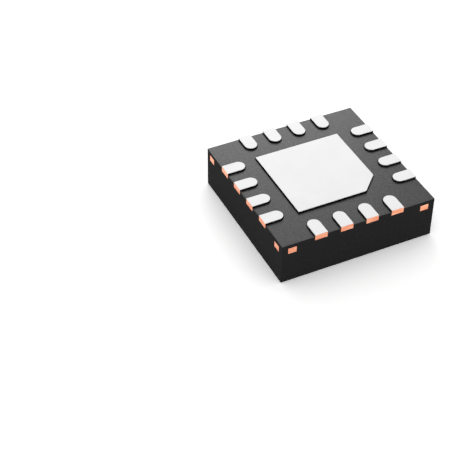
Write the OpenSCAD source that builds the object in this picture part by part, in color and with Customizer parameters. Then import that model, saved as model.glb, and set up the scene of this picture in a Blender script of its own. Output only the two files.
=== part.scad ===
// Leadless chip package with a row of solder feet on each side and a heat pad in the middle.
// It lies on its flat marking face, with its solder side up. The origin is the middle of the
// marking face, and +Z points out of the solder side. All sizes are in millimetres.

/* [Moulded body] */
// Width of the square body, from saw cut to saw cut
body_size = 3; // [2.9:0.05:3.4]
// Height of the moulding, from the marking face to the solder side
body_h = 0.82; // [0.75:0.01:1]
// Height by which the solder faces stand proud of the moulding
standoff = 0.04; // [0.02:0.005:0.06]

/* [Lead frame sheet] */
// Thickness of the etched copper sheet with its solder finish
sheet_t = 0.23; // [0.2:0.01:0.26]
// Depth of the half etch below the solder faces
etch_depth = 0.115; // [0.1:0.005:0.13]
// Thickness of the tin on the solder faces
plating_t = 0.01; // [0.006:0.001:0.015]

/* [Leads] */
// Number of leads along each side
leads_per_side = 4; // [3:1:4]
// Distance between the centre lines of neighbouring leads
lead_pitch = 0.5; // [0.42:0.01:0.52]
// Width of a lead's foot
lead_w = 0.24; // [0.2:0.01:0.28]
// Length of a lead's foot, from the saw cut to its round tip
lead_l = 0.39; // [0.35:0.01:0.42]
// Reach of the bond shelf past the tip of the foot
shelf_reach = 0.07; // [0.03:0.01:0.08]
// Overhang of the bond shelf past each edge of the foot
shelf_lip = 0.02; // [0.01:0.005:0.03]
// Distance of the bond shelf from the saw cut
shelf_setback = 0.1; // [0.05:0.01:0.15]

/* [Die paddle] */
// Width of the exposed heat pad
pad_size = 1.68; // [1.5:0.02:1.72]
// Leg of the cut corner that marks the first lead
pad_chamfer = 0.34; // [0.2:0.02:0.44]
// Width of the buried ledge that locks the pad into the moulding
pad_ledge = 0.05; // [0.02:0.01:0.08]
// Width of the diagonal tie bars
tie_bar_w = 0.1; // [0.08:0.01:0.12]
// Width of the two legs that each tie bar forks into
tie_leg_w = 0.16; // [0.12:0.01:0.2]
// Distance of a leg's centre line from the side that it runs along
tie_leg_inset = 0.2; // [0.15:0.01:0.25]

/* [Die] */
// Width of the square silicon die
die_size = 1.3; // [1.1:0.02:1.4]
// Thickness of the die
die_t = 0.2; // [0.15:0.01:0.25]
// Thickness of the glue between the die and the paddle
attach_t = 0.02; // [0.015:0.005:0.03]
// Width of the glue that shows past each edge of the die
attach_margin = 0.03; // [0.01:0.01:0.05]

/* [Bond wires] */
// Diameter of the wire
wire_d = 0.025; // [0.02:0.001:0.033]
// Diameter of the ball that holds the wire to the die
ball_d = 0.07; // [0.055:0.005:0.08]
// Height of that ball, which is pressed flat
ball_h = 0.02; // [0.012:0.002:0.026]
// Height of the wire's loop above the die
loop_h = 0.12; // [0.1:0.01:0.15]
// Radius of the bend at the top of the loop
loop_r = 0.04; // [0.03:0.005:0.05]
// Length of the level top of the loop
loop_top = 0.06; // [0.03:0.01:0.1]
// Length of the stitch that lies on the bond shelf
stitch_l = 0.06; // [0.04:0.01:0.08]
// Distance between the centres of neighbouring bond pads on the die
bond_pitch = 0.25; // [0.15:0.01:0.28]
// Distance of the bond pads' centres from the edge of the die
bond_inset = 0.08; // [0.06:0.01:0.12]

/* [Hidden] */
$fn = 48;
SIDES = 4;
lead_count = SIDES * leads_per_side;
solder_z = body_h + standoff;
half_body = body_size / 2;
// Depths below the solder faces at which the stack of the die begins and ends
attach_depth = sheet_t + attach_t;
die_depth = attach_depth + die_t;
shelf_w = lead_w + 2 * shelf_lip;
// Where the stitch ends: the centre of the bond shelf's round tip
stitch_y = lead_l + shelf_reach - shelf_w / 2 - half_body;
ball_y = bond_inset - die_size / 2;
// The point where a tie bar forks, measured along X and along Y
fork = half_body - tie_leg_inset;
WIRE_SIDES = 8;
WIRE_BEND_STEPS = 3;
// How far the lead frame runs on past the saw cuts before the saw parts it from its strip
STRIP_REACH = 0.1;
// Heights above the bond shelves, on the side that takes the wires: the face of the die, and the
// axis of a wire that lies with one flat of its section on a shelf
die_face_h = attach_t + die_t;
stitch_h = wire_d / 2 * cos(180 / WIRE_SIDES);

MOULD = "#2c2c2e";
COPPER = "#f09c78";
TIN = "#f2f2f3";
SILICON = "#6f7480";
GLUE = "#b9b9b4";
GOLD = "#e2b650";

// Place of lead n in its row, counted from 0, and its offset along that row at a given pitch
function place_in_row(n) = (n - 1) % leads_per_side;
function along_row(n, pitch) = ((leads_per_side - 1) / 2 - place_in_row(n)) * pitch;

// Turns a shape that was drawn on the -Y side to the side of lead n. The leads count clockwise
// seen from the solder side, from the cut corner of the heat pad.
module on_side_of(n) {
    rotate(-360 / SIDES * floor((n - 1) / leads_per_side))
        children();
}

// A slab of the given outline between two depths below the solder faces
module slab(top, bottom) {
    low = solder_z - bottom;
    high = solder_z - top;
    translate([0, 0, low])
        linear_extrude(high - low)
            children();
}

// Outline of a finger that starts a distance in from the saw cut and ends in a round tip
module finger(width, start, tip) {
    translate([-width / 2, start - half_body])
        square([width, tip - width / 2 - start]);
    translate([0, tip - width / 2 - half_body])
        circle(d = width);
}

// Outline of the heat pad with an even margin around it. The margin lengthens the cut corner's leg.
module pad_outline(margin) {
    half = pad_size / 2 + margin;
    leg = pad_chamfer + margin * (2 - sqrt(2));
    polygon([
        [-half, -half],
        [half - leg, -half],
        [half, -half + leg],
        [half, half],
        [-half, half]
    ]);
}

// Outline of one tie bar in the +X +Y corner: a diagonal bar that forks into a leg for each side.
// The legs run on past the saw cuts by the given length.
module tie_bar_outline(past) {
    end = half_body + past;
    root = pad_size / 2 - pad_chamfer;
    inner = fork - tie_leg_w / 2;
    outer = fork + tie_leg_w / 2;
    rotate(45)
        translate([root * sqrt(2), -tie_bar_w / 2])
            square([(fork - root) * sqrt(2), tie_bar_w]);
    polygon([
        [inner, inner],
        [end, inner],
        [end, outer],
        [outer, outer],
        [outer, end],
        [inner, end]
    ]);
}

// Heat pad, its buried ledge and the four tie bars, etched from one sheet
module die_paddle(past = 0) {
    color(COPPER) {
        slab(plating_t, etch_depth)
            pad_outline(0);
        slab(etch_depth, sheet_t) {
            pad_outline(pad_ledge);
            for (k = [0 : SIDES - 1])
                rotate(360 / SIDES * k)
                    tie_bar_outline(past);
        }
    }
}

// Lead n: a foot that reaches the saw cut or runs on past it, under a wider shelf that takes the
// bond wire
module lead(n, past = 0) {
    color(COPPER)
        on_side_of(n)
            translate([along_row(n, lead_pitch), 0, 0]) {
                slab(plating_t, etch_depth)
                    finger(lead_w, -past, lead_l);
                slab(etch_depth, sheet_t)
                    finger(shelf_w, shelf_setback, lead_l + shelf_reach);
            }
}

// Tin on the heat pad
module pad_plating() {
    color(TIN)
        slab(0, plating_t)
            pad_outline(0);
}

// Tin on the feet of all the leads
module lead_plating() {
    color(TIN)
        for (n = [1 : lead_count])
            on_side_of(n)
                translate([along_row(n, lead_pitch), 0, 0])
                    slab(0, plating_t)
                        finger(lead_w, 0, lead_l);
}

// Glue that holds the die to the paddle
module die_attach() {
    color(GLUE)
        slab(sheet_t, attach_depth)
            square(die_size + 2 * attach_margin, center = true);
}

// Silicon die, with its face towards the marking side
module die() {
    color(SILICON)
        slab(attach_depth, die_depth)
            square(die_size, center = true);
}

// Axis of a wire in its own upright plane: distance from the ball, and height above the bond shelf
function wire_axis(run) =
    let (top = die_face_h + loop_h)
    concat(
        [[0, die_face_h + ball_h / 2]],
        [for (a = [90 : -90 / WIRE_BEND_STEPS : 0]) [loop_r * (1 - sin(a)), top - loop_r * (1 - cos(a))]],
        [[loop_r + loop_top, top], [run - stitch_l, stitch_h], [run, stitch_h]]
    );

// Slope of the axis past point i, held at the last slope at the far end
function slope(axis, i) =
    let (k = min(i, len(axis) - 2), d = axis[k + 1] - axis[k])
    atan2(d.y, d.x);

// Ring of corners around point i, on the mitre between the two stretches that meet there
function wire_ring(axis, i) =
    let (
        before = slope(axis, max(i - 1, 0)),
        after = slope(axis, i),
        tilt = (before + after) / 2,
        stretch = 1 / cos((after - before) / 2)
    )
    [for (k = [0 : WIRE_SIDES - 1])
        let (
            a = (k + 0.5) * 360 / WIRE_SIDES,
            across = wire_d / 2 * cos(a),
            up = wire_d / 2 * sin(a) * stretch
        )
        [axis[i].x - up * sin(tilt), across, axis[i].y + up * cos(tilt)]];

// Wire swept along its axis, closed at both ends
module swept_wire(run) {
    axis = wire_axis(run);
    last = len(axis) - 1;
    corners = [for (i = [0 : last]) each wire_ring(axis, i)];
    walls = [for (i = [0 : last - 1], k = [0 : WIRE_SIDES - 1])
        let (
            here = i * WIRE_SIDES,
            next = (k + 1) % WIRE_SIDES
        )
        [here + k, here + WIRE_SIDES + k, here + WIRE_SIDES + next, here + next]];
    near_end = [for (k = [0 : WIRE_SIDES - 1]) k];
    far_end = [for (k = [WIRE_SIDES - 1 : -1 : 0]) last * WIRE_SIDES + k];
    polyhedron(points = corners, faces = concat([near_end], walls, [far_end]));
}

// Bond wire n, from its ball on the die to its stitch on the shelf of lead n
module bond_wire(n) {
    ball = [along_row(n, bond_pitch), ball_y];
    stitch = [along_row(n, lead_pitch), stitch_y];
    way = stitch - ball;
    color(GOLD)
        on_side_of(n) {
            translate([ball.x, ball.y, solder_z - die_depth])
                rotate([180, 0, 0])
                    cylinder(d = ball_d, h = ball_h);
            translate([ball.x, ball.y, solder_z - sheet_t])
                rotate([180, 0, atan2(way.y, way.x)])
                    swept_wire(norm(way));
        }
}

// Moulding, cast around the lead frame while that still runs on into its strip, then sawn to size
module mold_body() {
    color(MOULD)
        difference() {
            linear_extrude(body_h)
                square(body_size, center = true);
            die_paddle(STRIP_REACH);
            die_attach();
            die();
            for (n = [1 : lead_count]) {
                lead(n, STRIP_REACH);
                bond_wire(n);
            }
        }
}

mold_body();
die_paddle();
pad_plating();
lead_plating();
die_attach();
die();
for (n = [1 : lead_count]) {
    lead(n);
    bond_wire(n);
}
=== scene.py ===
import math

import bpy
from mathutils import Matrix, Vector


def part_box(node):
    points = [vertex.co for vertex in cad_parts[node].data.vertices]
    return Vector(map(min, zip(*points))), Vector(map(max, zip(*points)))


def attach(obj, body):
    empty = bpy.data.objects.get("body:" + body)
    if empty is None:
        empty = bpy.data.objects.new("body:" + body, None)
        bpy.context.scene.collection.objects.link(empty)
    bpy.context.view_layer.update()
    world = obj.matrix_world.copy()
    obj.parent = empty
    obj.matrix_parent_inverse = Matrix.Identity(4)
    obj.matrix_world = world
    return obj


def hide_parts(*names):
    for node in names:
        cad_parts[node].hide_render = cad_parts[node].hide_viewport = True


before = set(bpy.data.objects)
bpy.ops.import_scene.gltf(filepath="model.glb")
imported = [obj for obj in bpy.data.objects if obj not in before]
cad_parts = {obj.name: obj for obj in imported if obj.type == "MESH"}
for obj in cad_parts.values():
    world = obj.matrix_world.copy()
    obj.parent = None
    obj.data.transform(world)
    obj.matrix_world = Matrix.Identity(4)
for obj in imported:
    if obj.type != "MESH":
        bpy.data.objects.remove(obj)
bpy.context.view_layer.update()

# Lead frame: the heat pad with its tie bars, and the sixteen leads around it, etched from one sheet of
# copper alloy. A black oxide on the etched faces makes the moulding grip them, and where those faces stand
# out of the moulding its black is painted shade. The saw that parts the finished packages from their strip
# leaves bare copper at the ends of the leads and of the tie bars.

# Sizes are written in millimetres, and MM turns them into the frame's metres.
MM = 0.001
SIDES = 4
LEADS_PER_SIDE = 4
LEADS = range(1, SIDES * LEADS_PER_SIDE + 1)
LEAD_FRAME = ["die_paddle"] + [f"lead_{n}" for n in LEADS]
SAW_CUT_DEPTH = 0.0005
BARE_COPPER = ("#ed8e66", "#ffbc9c")
COPPER_ROUGHNESS = 0.42
COPPER_SAW_LINE = 0.024
COPPER_SAW_RANGE = (0.35, 0.65)
COPPER_SAW_LENGTH = 0.25
COPPER_SAW_BUMP = 0.0008
# Painted shade: this black also colours the etched walls that stand out of the moulding.
OXIDE_AND_PAINTED_SHADE = ("#0d0c0c", "#161413")
OXIDE_ROUGHNESS = 0.85
OXIDE_SPECULAR = 0.1
OXIDE_GRAIN = 0.02
body_low, body_high = (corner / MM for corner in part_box("mold_body"))
half_body = body_high.x


def linear(code):
    """An sRGB hex colour as linear red, green, blue and alpha."""
    channels = [int(code[i:i + 2], 16) / 255 for i in (1, 3, 5)]
    return [c / 12.92 if c <= 0.04045 else ((c + 0.055) / 1.055) ** 2.4 for c in channels] + [1.0]


def add_node(tree, kind, attributes=None, inputs=None):
    """Adds a node. An input takes a value, or a link where it is given another node's output."""
    made = tree.nodes.new(kind)
    for name, value in (attributes or {}).items():
        setattr(made, name, value)
    for socket, value in (inputs or {}).items():
        if isinstance(value, bpy.types.NodeSocket):
            tree.links.new(value, made.inputs[socket])
        else:
            made.inputs[socket].default_value = value
    return made


def new_finish(name):
    """A new material, with its node tree, its shader and the Object coordinates that its patterns use."""
    finish = bpy.data.materials.new(name)
    finish.use_nodes = True
    tree = finish.node_tree
    place = add_node(tree, "ShaderNodeTexCoord").outputs["Object"]
    return finish, tree, tree.nodes["Principled BSDF"], place


def repeats(size_mm):
    """A pattern's scale in repeats per metre, from the real size of one repeat in millimetres."""
    return 1 / (size_mm * MM)


# The sockets of a Mix node: its factor, the two colours that it mixes and their result
MIX_FACTOR, MIX_A, MIX_B, MIX_RESULT = 0, 6, 7, 2

# Sawn copper: soft salmon metal with level saw lines, drawn coarser than the real ones, which would not
# show. Its black oxide is matt, and on the etched walls that stand out of the moulding it is painted shade:
# they are drawn black for the shade there and for the dark moulding that they reflect.
lead_copper, tree, shader, place = new_finish("sawn_copper_with_oxide_and_painted_shade")
axes = add_node(tree, "ShaderNodeSeparateXYZ", inputs={"Vector": place})
reach_x = add_node(tree, "ShaderNodeMath", {"operation": "ABSOLUTE"}, {0: axes.outputs["X"]})
reach_y = add_node(tree, "ShaderNodeMath", {"operation": "ABSOLUTE"}, {0: axes.outputs["Y"]})
reach = add_node(tree, "ShaderNodeMath", {"operation": "MAXIMUM"},
                 {0: reach_x.outputs[0], 1: reach_y.outputs[0]})
sawn = add_node(tree, "ShaderNodeMath", {"operation": "GREATER_THAN"},
                {0: reach.outputs[0], 1: (half_body - SAW_CUT_DEPTH) * MM}).outputs[0]
along = repeats(COPPER_SAW_LENGTH)
saw_place = add_node(tree, "ShaderNodeMapping", inputs={
    "Vector": place, "Scale": (along, along, repeats(COPPER_SAW_LINE))})
saw_lines = add_node(tree, "ShaderNodeTexNoise", inputs={
    "Vector": saw_place.outputs["Vector"], "Scale": 1.0, "Detail": 3.0, "Roughness": 0.6}).outputs["Fac"]
scored = add_node(tree, "ShaderNodeMapRange", inputs={
    "Value": saw_lines, "From Min": COPPER_SAW_RANGE[0], "From Max": COPPER_SAW_RANGE[1]}).outputs["Result"]
grain = add_node(tree, "ShaderNodeTexNoise", inputs={
    "Vector": place, "Scale": repeats(OXIDE_GRAIN), "Detail": 4.0}).outputs["Fac"]
copper = add_node(tree, "ShaderNodeMix", {"data_type": "RGBA"}, {
    MIX_FACTOR: scored, MIX_A: linear(BARE_COPPER[0]), MIX_B: linear(BARE_COPPER[1])})
# The oxide's black, which is painted shade on the walls that stand out of the moulding
oxide_and_painted_shade = add_node(tree, "ShaderNodeMix", {"data_type": "RGBA"}, {
    MIX_FACTOR: grain, MIX_A: linear(OXIDE_AND_PAINTED_SHADE[0]), MIX_B: linear(OXIDE_AND_PAINTED_SHADE[1])})
colour = add_node(tree, "ShaderNodeMix", {"data_type": "RGBA"}, {
    MIX_FACTOR: sawn, MIX_A: oxide_and_painted_shade.outputs[MIX_RESULT], MIX_B: copper.outputs[MIX_RESULT]})
gloss = add_node(tree, "ShaderNodeMapRange", inputs={
    "Value": sawn, "To Min": OXIDE_ROUGHNESS, "To Max": COPPER_ROUGHNESS})
relief = add_node(tree, "ShaderNodeBump", inputs={
    "Height": saw_lines, "Strength": 0.3, "Distance": COPPER_SAW_BUMP * MM})
tree.links.new(colour.outputs[MIX_RESULT], shader.inputs["Base Color"])
tree.links.new(sawn, shader.inputs["Metallic"])
tree.links.new(gloss.outputs["Result"], shader.inputs["Roughness"])
tree.links.new(relief.outputs["Normal"], shader.inputs["Normal"])
shader.inputs["Specular IOR Level"].default_value = OXIDE_SPECULAR
for name in LEAD_FRAME:
    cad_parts[name].material_slots[0].material = lead_copper

# Die glue: the epoxy that holds the die to the back of the heat pad. It is loaded with silver flakes that
# carry the heat across, and it is squeezed out in a narrow rim around the die.

GLUE_TONES = ("#8f8f8a", "#d2d2cc")
GLUE_ROUGHNESS = (0.65, 0.4)
GLUE_METALLIC = 0.5
SILVER_FLAKE = 0.012

# Silver-filled epoxy: dull grey with flakes that glint one by one.
die_glue, tree, shader, place = new_finish("silver_filled_epoxy")
flakes = add_node(tree, "ShaderNodeTexVoronoi", inputs={
    "Vector": place, "Scale": repeats(SILVER_FLAKE)})
flake = add_node(tree, "ShaderNodeSeparateColor", inputs={"Color": flakes.outputs["Color"]}).outputs["Red"]
colour = add_node(tree, "ShaderNodeMix", {"data_type": "RGBA"}, {
    MIX_FACTOR: flake, MIX_A: linear(GLUE_TONES[0]), MIX_B: linear(GLUE_TONES[1])})
gloss = add_node(tree, "ShaderNodeMapRange", inputs={
    "Value": flake, "To Min": GLUE_ROUGHNESS[0], "To Max": GLUE_ROUGHNESS[1]})
tree.links.new(colour.outputs[MIX_RESULT], shader.inputs["Base Color"])
tree.links.new(gloss.outputs["Result"], shader.inputs["Roughness"])
shader.inputs["Metallic"].default_value = GLUE_METALLIC
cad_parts["die_attach"].material_slots[0].material = die_glue

# Die: the silicon with the circuit, diced from a ground wafer. Its circuit face looks to the marking side,
# where the bond wires land, and its ground back is glued to the heat pad.

SILICON_TONES = ("#50545f", "#8b91a0")
SILICON_ROUGHNESS = (0.12, 0.3)
SILICON_METALLIC = 0.6
GRINDING_LINE = 0.01
GRINDING_LENGTH = 1
CIRCUIT_TONES = ("#4d5a78", "#8a7fa0")
CIRCUIT_BLOCK = 0.11
CIRCUIT_DEPTH = 0.0005
circuit_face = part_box("die")[0].z

# Polished silicon: a dark blue-grey mirror, with blocks of circuit in faint tints on one face and fine
# grinding marks on the others.
silicon, tree, shader, place = new_finish("polished_silicon")
axes = add_node(tree, "ShaderNodeSeparateXYZ", inputs={"Vector": place})
circuit = add_node(tree, "ShaderNodeMath", {"operation": "LESS_THAN"},
                   {0: axes.outputs["Z"], 1: circuit_face + CIRCUIT_DEPTH * MM}).outputs[0]
blocks = add_node(tree, "ShaderNodeTexVoronoi", {"distance": "CHEBYCHEV", "voronoi_dimensions": "2D"}, {
    "Vector": place, "Scale": repeats(CIRCUIT_BLOCK)})
block = add_node(tree, "ShaderNodeSeparateColor", inputs={"Color": blocks.outputs["Color"]}).outputs["Red"]
across = repeats(GRINDING_LINE)
ground_place = add_node(tree, "ShaderNodeMapping", inputs={
    "Vector": place, "Scale": (across, repeats(GRINDING_LENGTH), across)})
ground = add_node(tree, "ShaderNodeTexNoise", inputs={
    "Vector": ground_place.outputs["Vector"], "Scale": 1.0}).outputs["Fac"]
bare = add_node(tree, "ShaderNodeMix", {"data_type": "RGBA"}, {
    MIX_FACTOR: ground, MIX_A: linear(SILICON_TONES[0]), MIX_B: linear(SILICON_TONES[1])})
drawn = add_node(tree, "ShaderNodeMix", {"data_type": "RGBA"}, {
    MIX_FACTOR: block, MIX_A: linear(CIRCUIT_TONES[0]), MIX_B: linear(CIRCUIT_TONES[1])})
colour = add_node(tree, "ShaderNodeMix", {"data_type": "RGBA"}, {
    MIX_FACTOR: circuit, MIX_A: bare.outputs[MIX_RESULT], MIX_B: drawn.outputs[MIX_RESULT]})
gloss = add_node(tree, "ShaderNodeMapRange", inputs={
    "Value": ground, "To Min": SILICON_ROUGHNESS[0], "To Max": SILICON_ROUGHNESS[1]})
tree.links.new(colour.outputs[MIX_RESULT], shader.inputs["Base Color"])
tree.links.new(gloss.outputs["Result"], shader.inputs["Roughness"])
shader.inputs["Metallic"].default_value = SILICON_METALLIC
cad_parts["die"].material_slots[0].material = silicon

# Bond wires: fine gold wire, welded to the die as a ball and to each lead's shelf as a flat stitch.
# The wire is drawn through a diamond, and its loop is bent by the bonding tool.

GOLD_TONES = ("#d9a83c", "#f2cb6c")
GOLD_ROUGHNESS = (0.2, 0.35)
GOLD_MOTTLE = 0.02

# Drawn gold: warm and bright, with a soft mottle left by the drawing and the heat of the weld.
gold, tree, shader, place = new_finish("drawn_gold")
mottle = add_node(tree, "ShaderNodeTexNoise", inputs={
    "Vector": place, "Scale": repeats(GOLD_MOTTLE), "Detail": 3.0}).outputs["Fac"]
colour = add_node(tree, "ShaderNodeMix", {"data_type": "RGBA"}, {
    MIX_FACTOR: mottle, MIX_A: linear(GOLD_TONES[0]), MIX_B: linear(GOLD_TONES[1])})
gloss = add_node(tree, "ShaderNodeMapRange", inputs={
    "Value": mottle, "To Min": GOLD_ROUGHNESS[0], "To Max": GOLD_ROUGHNESS[1]})
tree.links.new(colour.outputs[MIX_RESULT], shader.inputs["Base Color"])
tree.links.new(gloss.outputs["Result"], shader.inputs["Roughness"])
shader.inputs["Metallic"].default_value = 1.0
for n in LEADS:
    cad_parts[f"bond_wire_{n}"].material_slots[0].material = gold

# Moulding: black epoxy, filled with silica and pressed around the whole lead frame in one sheet of many
# packages. Its two flat faces come from the mould, and a diamond saw cuts its four sides.

EDGE_RADIUS = 0.01
POCKET_RADIUS = 0.018
EDGE_STEPS = 3
RIM_BAND = 0.03
ON_PLANE = 0.0005
SOLDER_FACE = (2, 1)
LEVEL = 0.99
MOULDED_SLOPE = 0.7
WELD = 0.0002
FLAT_ENOUGH = math.radians(0.5)
SHARP = math.radians(40)
LARGE_FACE_WEIGHT = 100
MOULDED_TONES = ("#0f0f11", "#38383a")
MOULDED_ROUGHNESS = (0.33, 0.29)
MOULDED_IOR = 1.5
MOULD_GRAIN = 0.045
MOULD_GRAIN_RANGE = (0.4, 0.6)
MOULD_GRAIN_SHARE = 0.85
MOULD_SAND = 0.013
MOULD_SAND_RANGE = (0.35, 0.65)
MOULD_SAND_SHARE = 0.3
MOULD_CLOUD = 0.6
MOULD_BUMP = 0.0012
SAWN_TONES = ("#222222", "#2c2c2d")
SAWN_ROUGHNESS = (0.7, 0.9)
SAWN_SPECULAR = 0.03
SAW_LINE = 0.02
SAW_LENGTH = 0.8
SAW_BUMP = 0.0015
FILLER_TONE = "#444445"
FILLER_SPECK = 0.045
FILLER_EDGE = (0.1, 0.28)
FILLER_SHARE = 0.4


def pick(piece):
    """Selects one piece alone and makes it the active one."""
    bpy.ops.object.select_all(action="DESELECT")
    piece.select_set(True)
    bpy.context.view_layer.objects.active = piece


def rescale(piece, factor):
    """Scales a piece's mesh about the origin. Pieces are shaped in millimetres and handed over in metres."""
    pick(piece)
    bpy.ops.object.transform_apply(location=True, rotation=True, scale=True)
    piece.scale = (factor, factor, factor)
    bpy.ops.object.transform_apply(location=False, rotation=False, scale=True)


def select_sharp(piece, wanted):
    """Leaves the piece in edit mode with those sharp edges selected whose two end points are wanted."""
    pick(piece)
    bpy.ops.object.mode_set(mode="EDIT")
    bpy.ops.mesh.select_mode(type="EDGE")
    bpy.ops.mesh.select_all(action="DESELECT")
    bpy.ops.mesh.edges_select_sharp(sharpness=SHARP)
    bpy.ops.object.mode_set(mode="OBJECT")
    for parts in (piece.data.vertices, piece.data.polygons):
        parts.foreach_set("select", [False] * len(parts))
    corners = piece.data.vertices
    for edge in piece.data.edges:
        edge.select = edge.select and wanted(*(corners[i].co for i in edge.vertices))
    bpy.ops.object.mode_set(mode="EDIT")


def hand_over(piece):
    """Shades the small rounded edges smoothly, keeps the large faces flat, and turns the piece to metres."""
    pick(piece)
    bpy.ops.object.shade_smooth_by_angle(angle=SHARP)
    bpy.ops.object.modifier_add(type="WEIGHTED_NORMAL")
    piece.modifiers[-1].weight = LARGE_FACE_WEIGHT
    piece.modifiers[-1].keep_sharp = True
    bpy.ops.object.modifier_apply(modifier=piece.modifiers[-1].name)
    rescale(piece, MM)


def outer_faces(point):
    """The outer faces of the moulding's block that a point lies on, by axis and end."""
    return {(axis, end) for end, corner in enumerate((body_low, body_high)) for axis in range(3)
            if abs(point[axis] - corner[axis]) < ON_PLANE}


def block_edge(a, b):
    """Whether an edge is one of the block's own."""
    return len(outer_faces(a) & outer_faces(b)) == 2


def pocket_rim(a, b):
    """Whether an edge is the rim of a pocket in the solder face."""
    return outer_faces(a) & outer_faces(b) == {SOLDER_FACE}


# The block with its pockets: the solder face gets a narrow band along its outline, so that the rims of the
# pockets and the edges of the block can then be rounded within it.
moulding = bpy.data.objects.new("moulding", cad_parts["mold_body"].data.copy())
bpy.context.scene.collection.objects.link(moulding)
rescale(moulding, 1 / MM)
bpy.ops.object.mode_set(mode="EDIT")
bpy.ops.mesh.select_all(action="SELECT")
bpy.ops.mesh.remove_doubles(threshold=WELD)
bpy.ops.mesh.dissolve_limited(angle_limit=FLAT_ENOUGH)
bpy.ops.mesh.select_mode(type="FACE")
bpy.ops.mesh.select_all(action="DESELECT")
bpy.ops.object.mode_set(mode="OBJECT")
for face in moulding.data.polygons:
    face.select = face.normal.z > LEVEL and face.center.z > body_high.z - ON_PLANE
bpy.ops.object.mode_set(mode="EDIT")
bpy.ops.mesh.inset(thickness=RIM_BAND)
bpy.ops.object.mode_set(mode="OBJECT")
for wanted, radius in ((pocket_rim, POCKET_RADIUS), (block_edge, EDGE_RADIUS)):
    select_sharp(moulding, wanted)
    bpy.ops.mesh.bevel(offset=radius, segments=EDGE_STEPS, affect="EDGES")
    bpy.ops.mesh.select_all(action="SELECT")
    bpy.ops.mesh.remove_doubles(threshold=WELD)
    bpy.ops.object.mode_set(mode="OBJECT")
hand_over(moulding)

# The sockets of a Mix node that mixes two numbers
BLEND_A, BLEND_B, BLEND_RESULT = 2, 3, 0

# Moulded epoxy: dark grey with a soft sheen, the grain of the mould's film, the finer sand of the silica
# under it and a faint cloudiness. Grain and sand are drawn coarser than the real ones, to show at all.
moulded, tree, shader, place = new_finish("moulded_epoxy")
grain = add_node(tree, "ShaderNodeTexNoise", inputs={
    "Vector": place, "Scale": repeats(MOULD_GRAIN), "Detail": 4.0, "Roughness": 0.65}).outputs["Fac"]
cloud = add_node(tree, "ShaderNodeTexNoise", inputs={
    "Vector": place, "Scale": repeats(MOULD_CLOUD), "Detail": 3.0}).outputs["Fac"]
crisp = add_node(tree, "ShaderNodeMapRange", inputs={
    "Value": grain, "From Min": MOULD_GRAIN_RANGE[0], "From Max": MOULD_GRAIN_RANGE[1]}).outputs["Result"]
sand = add_node(tree, "ShaderNodeTexNoise", inputs={
    "Vector": place, "Scale": repeats(MOULD_SAND), "Detail": 2.0}).outputs["Fac"]
sandy = add_node(tree, "ShaderNodeMapRange", inputs={
    "Value": sand, "From Min": MOULD_SAND_RANGE[0], "From Max": MOULD_SAND_RANGE[1]}).outputs["Result"]
surface = add_node(tree, "ShaderNodeMix", {"data_type": "FLOAT"}, {
    MIX_FACTOR: MOULD_SAND_SHARE, BLEND_A: crisp, BLEND_B: sandy}).outputs[BLEND_RESULT]
tone = add_node(tree, "ShaderNodeMix", {"data_type": "FLOAT"}, {
    MIX_FACTOR: MOULD_GRAIN_SHARE, BLEND_A: cloud, BLEND_B: surface}).outputs[BLEND_RESULT]
colour = add_node(tree, "ShaderNodeMix", {"data_type": "RGBA"}, {
    MIX_FACTOR: tone, MIX_A: linear(MOULDED_TONES[0]), MIX_B: linear(MOULDED_TONES[1])})
gloss = add_node(tree, "ShaderNodeMapRange", inputs={
    "Value": surface, "To Min": MOULDED_ROUGHNESS[0], "To Max": MOULDED_ROUGHNESS[1]})
relief = add_node(tree, "ShaderNodeBump", inputs={
    "Height": grain, "Strength": 0.4, "Distance": MOULD_BUMP * MM})
tree.links.new(colour.outputs[MIX_RESULT], shader.inputs["Base Color"])
tree.links.new(gloss.outputs["Result"], shader.inputs["Roughness"])
tree.links.new(relief.outputs["Normal"], shader.inputs["Normal"])
shader.inputs["IOR"].default_value = MOULDED_IOR

# Sawn epoxy: nearly black, because the cut is too rough to reflect, with level saw lines and the pale
# specks of silica grains that the blade cut through. The specks are drawn coarser than the real ones.
sawn_epoxy, tree, shader, place = new_finish("sawn_epoxy")
along = repeats(SAW_LENGTH)
saw_place = add_node(tree, "ShaderNodeMapping", inputs={
    "Vector": place, "Scale": (along, along, repeats(SAW_LINE))})
saw_lines = add_node(tree, "ShaderNodeTexNoise", inputs={
    "Vector": saw_place.outputs["Vector"], "Scale": 1.0, "Detail": 4.0, "Roughness": 0.6}).outputs["Fac"]
base = add_node(tree, "ShaderNodeMix", {"data_type": "RGBA"}, {
    MIX_FACTOR: saw_lines, MIX_A: linear(SAWN_TONES[0]), MIX_B: linear(SAWN_TONES[1])})
specks = add_node(tree, "ShaderNodeTexVoronoi", inputs={
    "Vector": place, "Scale": repeats(FILLER_SPECK)}).outputs["Distance"]
speck = add_node(tree, "ShaderNodeMapRange", inputs={
    "Value": specks, "From Min": FILLER_EDGE[0], "From Max": FILLER_EDGE[1],
    "To Min": FILLER_SHARE, "To Max": 0.0}).outputs["Result"]
colour = add_node(tree, "ShaderNodeMix", {"data_type": "RGBA"}, {
    MIX_FACTOR: speck, MIX_A: base.outputs[MIX_RESULT], MIX_B: linear(FILLER_TONE)})
gloss = add_node(tree, "ShaderNodeMapRange", inputs={
    "Value": saw_lines, "To Min": SAWN_ROUGHNESS[0], "To Max": SAWN_ROUGHNESS[1]})
relief = add_node(tree, "ShaderNodeBump", inputs={
    "Height": saw_lines, "Strength": 0.4, "Distance": SAW_BUMP * MM})
tree.links.new(colour.outputs[MIX_RESULT], shader.inputs["Base Color"])
tree.links.new(gloss.outputs["Result"], shader.inputs["Roughness"])
tree.links.new(relief.outputs["Normal"], shader.inputs["Normal"])
shader.inputs["Specular IOR Level"].default_value = SAWN_SPECULAR

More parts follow.
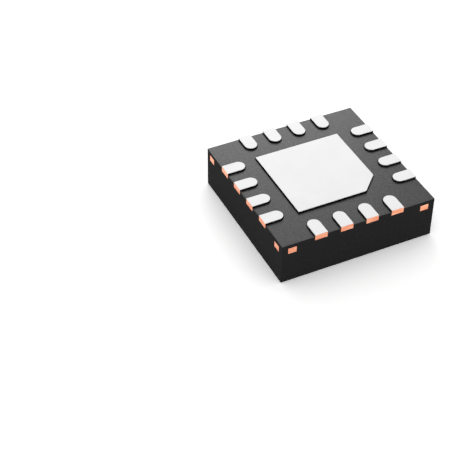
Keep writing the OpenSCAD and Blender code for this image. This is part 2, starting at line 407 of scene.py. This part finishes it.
moulding.data.materials.clear()
moulding.data.materials.append(moulded)
moulding.data.materials.append(sawn_epoxy)
for face in moulding.data.polygons:
    face.material_index = 0 if abs(face.normal.z) > MOULDED_SLOPE else 1
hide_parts("mold_body")
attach(moulding, "root")

# Solder finish: matte tin, plated on every copper face that the moulding leaves open before the saw
# parts the packages. It covers the heat pad and the sixteen feet, and its rims are rounded.

RIM_RADIUS = 0.007
RIM_STEPS = 3
PAD_CUT_CORNER = 0.34
FOOT_WIDTH = 0.24
FOOT_LENGTH = 0.39
LEAD_PITCH = 0.5
TIP_CORNERS = 64
TIN_TONES = ("#e8e8e8", "#eeeeee")
TIN_ROUGHNESS = (0.78, 0.9)
TIN_GRAIN = 0.03
TIN_CLOUD = 0.35
TIN_CLOUD_SHARE = 0.85
TIN_BUMP = 0.0012
ROLLING_LINE = 0.035
ROLLING_LENGTH = 0.9
ROLLING_SHARE = 0.5
pad_low, pad_high = (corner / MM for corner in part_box("pad_plating"))
film = pad_high.z - pad_low.z

# Heat pad: a flat film with one corner cut off, which marks the first lead.
bpy.ops.object.select_all(action="DESELECT")
bpy.ops.mesh.primitive_cube_add(size=1, location=(pad_low + pad_high) / 2, scale=pad_high - pad_low)
pad_tin = bpy.context.object
pad_tin.name = "pad_tin"
bpy.ops.object.transform_apply(location=True, rotation=True, scale=True)
bpy.ops.object.mode_set(mode="EDIT")
bpy.ops.mesh.select_all(action="SELECT")
bpy.ops.mesh.bisect(plane_co=(pad_high.x, pad_low.y + PAD_CUT_CORNER, 0), plane_no=(1, -1, 0),
                    use_fill=True, clear_outer=True)
bpy.ops.object.mode_set(mode="OBJECT")
select_sharp(pad_tin, lambda a, b: min(a.z, b.z) > pad_high.z - ON_PLANE)
bpy.ops.mesh.bevel(offset=RIM_RADIUS, segments=RIM_STEPS, affect="EDGES")
bpy.ops.object.mode_set(mode="OBJECT")
hand_over(pad_tin)

# One foot: a half disc for the round tip, drawn out to the saw cut, then thickened and rounded.
tip_y = FOOT_LENGTH - FOOT_WIDTH / 2 - half_body
bpy.ops.object.select_all(action="DESELECT")
bpy.ops.mesh.primitive_circle_add(vertices=TIP_CORNERS, radius=FOOT_WIDTH / 2, fill_type="NGON",
                                  location=(0, tip_y, pad_low.z))
foot = bpy.context.object
bpy.ops.object.transform_apply(location=True, rotation=True, scale=True)
bpy.ops.object.mode_set(mode="EDIT")
bpy.ops.mesh.select_all(action="SELECT")
bpy.ops.mesh.bisect(plane_co=(0, tip_y, 0), plane_no=(0, -1, 0), clear_outer=True)
bpy.ops.mesh.select_all(action="DESELECT")
bpy.ops.object.mode_set(mode="OBJECT")
for edge in foot.data.edges:
    edge.select = all(foot.data.vertices[i].co.y < tip_y + ON_PLANE for i in edge.vertices)
bpy.ops.object.mode_set(mode="EDIT")
bpy.ops.mesh.extrude_region_move(TRANSFORM_OT_translate={"value": (0, -half_body - tip_y, 0)})
bpy.ops.mesh.select_all(action="SELECT")
bpy.ops.mesh.dissolve_limited(angle_limit=FLAT_ENOUGH)
bpy.ops.mesh.extrude_region_move(TRANSFORM_OT_translate={"value": (0, 0, film)})
bpy.ops.mesh.select_all(action="SELECT")
bpy.ops.mesh.normals_make_consistent(inside=False)
bpy.ops.object.mode_set(mode="OBJECT")
select_sharp(foot, lambda a, b: min(a.z, b.z) > pad_high.z - ON_PLANE
             and max(a.y, b.y) > ON_PLANE - half_body)
bpy.ops.mesh.bevel(offset=RIM_RADIUS, segments=RIM_STEPS, affect="EDGES")
bpy.ops.object.mode_set(mode="OBJECT")

# The feet of all leads, counted clockwise seen from the solder side, starting beside the cut corner.
feet = []
for n in LEADS:
    side, in_row = divmod(n - 1, LEADS_PER_SIDE)
    copy = bpy.data.objects.new(f"foot_tin_{n}", foot.data.copy())
    bpy.context.scene.collection.objects.link(copy)
    shift = Matrix.Translation((((LEADS_PER_SIDE - 1) / 2 - in_row) * LEAD_PITCH, 0, 0))
    copy.matrix_world = Matrix.Rotation(-math.tau / SIDES * side, 4, "Z") @ shift
    feet.append(copy)
bpy.data.objects.remove(foot)
pick(feet[0])
for copy in feet:
    copy.select_set(True)
bpy.ops.object.transform_apply(location=True, rotation=True, scale=True)
bpy.ops.object.join()
foot_tin = bpy.context.object
foot_tin.name = "foot_tin"
hand_over(foot_tin)

# Matte tin: a pale, even grey that scatters light almost like paper, from crystals of a few microns that
# are drawn coarser here. Faint lines along X follow the rolling of the copper sheet under it.
matte_tin, tree, shader, place = new_finish("matte_tin")
grain = add_node(tree, "ShaderNodeTexNoise", inputs={
    "Vector": place, "Scale": repeats(TIN_GRAIN), "Detail": 4.0, "Roughness": 0.6}).outputs["Fac"]
cloud = add_node(tree, "ShaderNodeTexNoise", inputs={
    "Vector": place, "Scale": repeats(TIN_CLOUD), "Detail": 2.0}).outputs["Fac"]
along = repeats(ROLLING_LENGTH)
rolled_place = add_node(tree, "ShaderNodeMapping", inputs={
    "Vector": place, "Scale": (along, repeats(ROLLING_LINE), along)})
rolled = add_node(tree, "ShaderNodeTexNoise", inputs={
    "Vector": rolled_place.outputs["Vector"], "Scale": 1.0, "Detail": 3.0}).outputs["Fac"]
fine = add_node(tree, "ShaderNodeMix", {"data_type": "FLOAT"}, {
    MIX_FACTOR: ROLLING_SHARE, BLEND_A: grain, BLEND_B: rolled}).outputs[BLEND_RESULT]
tone = add_node(tree, "ShaderNodeMix", {"data_type": "FLOAT"}, {
    MIX_FACTOR: TIN_CLOUD_SHARE, BLEND_A: fine, BLEND_B: cloud}).outputs[BLEND_RESULT]
colour = add_node(tree, "ShaderNodeMix", {"data_type": "RGBA"}, {
    MIX_FACTOR: tone, MIX_A: linear(TIN_TONES[0]), MIX_B: linear(TIN_TONES[1])})
gloss = add_node(tree, "ShaderNodeMapRange", inputs={
    "Value": fine, "To Min": TIN_ROUGHNESS[0], "To Max": TIN_ROUGHNESS[1]})
relief = add_node(tree, "ShaderNodeBump", inputs={
    "Height": fine, "Strength": 0.25, "Distance": TIN_BUMP * MM})
tree.links.new(colour.outputs[MIX_RESULT], shader.inputs["Base Color"])
tree.links.new(gloss.outputs["Result"], shader.inputs["Roughness"])
tree.links.new(relief.outputs["Normal"], shader.inputs["Normal"])
shader.inputs["Metallic"].default_value = 1.0
for piece, node in ((pad_tin, "pad_plating"), (foot_tin, "lead_plating")):
    piece.data.materials.clear()
    piece.data.materials.append(matte_tin)
    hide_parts(node)
    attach(piece, "root")

# Floor: a sheet of white card on which the chip lies on its marking face. It is large enough to fill
# every view, and it lies a hair below that face, so that the two never share a plane.

FLOOR_WIDTH = 400
FLOOR_DROP = 0.001
CARD_TONE = "#e6e6e6"
CARD_GAIN = 1.3

bpy.ops.object.select_all(action="DESELECT")
bpy.ops.mesh.primitive_plane_add(size=FLOOR_WIDTH, location=(0, 0, -FLOOR_DROP))
floor = bpy.context.object
floor.name = "floor"
rescale(floor, MM)


def in_sight(tree):
    """An output that is 1 where a surface is seen, also in metal or glass, and 0 where it only lights."""
    path = add_node(tree, "ShaderNodeLightPath")
    seen = add_node(tree, "ShaderNodeMath", {"operation": "MAXIMUM"},
                    {0: path.outputs["Is Camera Ray"], 1: path.outputs["Is Glossy Ray"]})
    return add_node(tree, "ShaderNodeMath", {"operation": "MAXIMUM"},
                    {0: seen.outputs[0], 1: path.outputs["Is Transmission Ray"]}).outputs[0]


# White card: it lights the chip as pale card does. To the eye and in metal it is a little brighter than
# white, so that only the chip's close shadow shows on it.
card = bpy.data.materials.new("white_card")
card.use_nodes = True
tree = card.node_tree
tree.nodes.remove(tree.nodes["Principled BSDF"])
colour = add_node(tree, "ShaderNodeMix", {"data_type": "RGBA"}, {
    MIX_FACTOR: in_sight(tree), MIX_A: linear(CARD_TONE), MIX_B: [CARD_GAIN] * 3 + [1.0]})
paper = add_node(tree, "ShaderNodeBsdfDiffuse", inputs={"Color": colour.outputs[MIX_RESULT]})
tree.links.new(paper.outputs[0], tree.nodes["Material Output"].inputs["Surface"])
floor.data.materials.append(card)

# Studio: an even white tent all round, which lights the chip at a plain level. A softbox behind the chip,
# which the camera doesn't see, draws a sheen across the moulding and a short shadow in front.

TENT_LEVEL = 0.86
SOFTBOX_PLACE = (2.4, 13.5, 8.2)
SOFTBOX_SIZE = (14, 7)
SOFTBOX_POWER = 0.0007

world = bpy.data.worlds.new("white_tent")
bpy.context.scene.world = world
world.use_nodes = True
tree = world.node_tree
level = add_node(tree, "ShaderNodeMapRange", inputs={
    "Value": in_sight(tree), "To Min": TENT_LEVEL, "To Max": 1.0})
tent = tree.nodes["Background"]
tent.inputs["Color"].default_value = linear("#ffffff")
tree.links.new(level.outputs["Result"], tent.inputs["Strength"])

softbox_light = bpy.data.lights.new("softbox", "AREA")
softbox_light.shape = "RECTANGLE"
softbox_light.size, softbox_light.size_y = (length * MM for length in SOFTBOX_SIZE)
softbox_light.energy = SOFTBOX_POWER
softbox = bpy.data.objects.new("softbox", softbox_light)
softbox.location = Vector(SOFTBOX_PLACE) * MM
softbox.rotation_euler = (-softbox.location).to_track_quat("-Z", "Y").to_euler()
softbox.visible_camera = False
bpy.context.scene.collection.objects.link(softbox)

# Camera: above the corner between the front and left sides, with a long lens. It aims beside the chip,
# which lies to the right of the middle of the picture.

CAMERA_PLACE = Vector((-9.159, -15.496, 15.216))
CAMERA_AIM = Vector((-1.719, 0.280, 0))
CAMERA_LENS = 102.53
CAMERA_SENSOR = 36
NEAREST = 1
FARTHEST = 1000

view = bpy.data.cameras.new("camera")
view.lens = CAMERA_LENS
view.sensor_width = CAMERA_SENSOR
view.clip_start = NEAREST * MM
view.clip_end = FARTHEST * MM
camera = bpy.data.objects.new("camera", view)
camera.location = CAMERA_PLACE * MM
camera.rotation_euler = (CAMERA_AIM - CAMERA_PLACE).to_track_quat("-Z", "Y").to_euler()
bpy.context.scene.collection.objects.link(camera)
bpy.context.scene.camera = camera
bpy.context.scene.view_settings.view_transform = "Standard"
